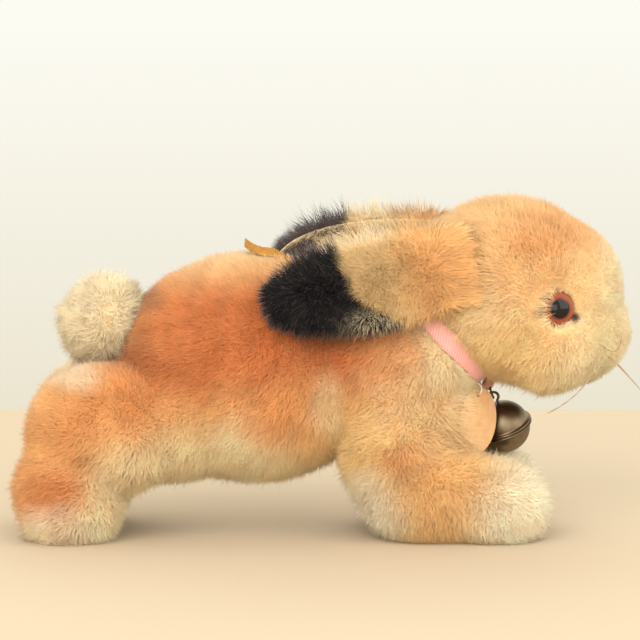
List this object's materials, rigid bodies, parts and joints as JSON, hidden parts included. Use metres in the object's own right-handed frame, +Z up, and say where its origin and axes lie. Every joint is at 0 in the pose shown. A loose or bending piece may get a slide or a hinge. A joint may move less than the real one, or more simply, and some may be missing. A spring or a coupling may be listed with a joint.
{
  "type": "jointed mohair toy rabbit",
  "caption": "Running toy rabbit of mohair plush with a turning head, long laid-back ears, puff tail, glass eyes, satin neck ribbon, hanging bell and blank chest disc.",
  "frame": {"origin": "on the ground under the middle of the toy's bounding box", "axes": "+X towards the nose, +Y towards the toy's left side, +Z up"},
  "size_m": [0.169, 0.0593, 0.0897],
  "materials": {
    "mohair_rust": "woven mohair plush, long soft pile",
    "mohair_cream": "woven mohair plush, long soft pile",
    "mohair_gold": "woven mohair plush, long soft pile",
    "velvet": "short smooth velvet",
    "wood_wool": "firm packed wood wool",
    "cotton": "soft cotton",
    "cardboard": "pressed board",
    "tag_card": "smooth pressed card",
    "steel": "drawn wire and stamped sheet",
    "bell_metal": "dark tarnished, satin",
    "ribbon": "satin weave",
    "glass_eye": "polished glass with a black pupil",
    "thread_pink": "stranded embroidery thread",
    "thread_brown": "stiff waxed thread",
    "tag_cloth": "woven cotton tape"
  },
  "bodies": {
    "toy_body": {"body_side_left": "mohair_rust", "body_side_right": "mohair_rust", "belly_gusset": "mohair_cream", "body_stuffing": "wood_wool", "tail_cover": "mohair_cream", "tail_stuffing": "cotton", "body_neck_disc": "cardboard", "body_neck_washer": "steel", "ribbon_collar": "ribbon", "ribbon_knot": "ribbon", "bell_jump_ring": "steel", "cloth_tag": "tag_cloth", "chest_tag_thread": "cotton"},
    "head": {"head_side_left": "mohair_gold", "head_side_right": "mohair_gold", "head_gusset": "mohair_gold", "head_stuffing": "wood_wool", "head_neck_disc": "cardboard", "head_neck_washer": "steel", "neck_cotter_pin": "steel", "eye_glass_left": "glass_eye", "eye_glass_right": "glass_eye", "eye_shank_left": "steel", "eye_shank_right": "steel", "nose_stitching": "thread_pink", "mouth_stitching": "thread_pink", "whisker_lower_left": "thread_brown", "whisker_lower_right": "thread_brown", "whisker_upper_left": "thread_brown", "whisker_upper_right": "thread_brown", "whisker_front_left": "thread_brown", "whisker_front_right": "thread_brown"},
    "ear_left": {"ear_outer_left": "mohair_gold", "ear_lining_left": "velvet"},
    "ear_right": {"ear_outer_right": "mohair_gold", "ear_lining_right": "velvet"},
    "bell": {"bell_upper_shell": "bell_metal", "bell_lower_shell": "bell_metal", "bell_loop": "bell_metal"},
    "bell_pellet": {"bell_pellet": "steel"},
    "chest_tag": {"chest_tag": "tag_card"}
  },
  "joints": [
    {"name": "head_turn", "type": "hinge", "parent": "toy_body", "child": "head", "pos_m": [0.0284, 0, 0.0575], "axis": [0.7314, 0, 0.682], "range_deg": [-15, 15]},
    {"name": "ear_left_lift", "type": "hinge", "parent": "head", "child": "ear_left", "pos_m": [0.0349, 0.0214, 0.0755], "axis": [0.0488, -0.0054, -0.9988], "range_deg": [0, 60]},
    {"name": "ear_right_lift", "type": "hinge", "parent": "head", "child": "ear_right", "pos_m": [0.0349, -0.0214, 0.0755], "axis": [-0.1922, -0.0203, 0.9811], "range_deg": [0, 60]},
    {"name": "bell_swing", "type": "hinge", "parent": "toy_body", "child": "bell", "pos_m": [0.0443, 0.0048, 0.0365], "axis": [0.097, -0.9614, -0.2576], "range_deg": [-20, 30]},
    {"name": "bell_rattle", "type": "slide", "parent": "bell", "child": "bell_pellet", "axis": [-0.3387, -0.2752, 0.8997], "range_m": [0, 0.0075]},
    {"name": "chest_tag_swing", "type": "hinge", "parent": "toy_body", "child": "chest_tag", "pos_m": [0.0391, -0.0086, 0.039], "axis": [-0.6018, -0.7986, 0], "range_deg": [-8, 20]}
  ]
}
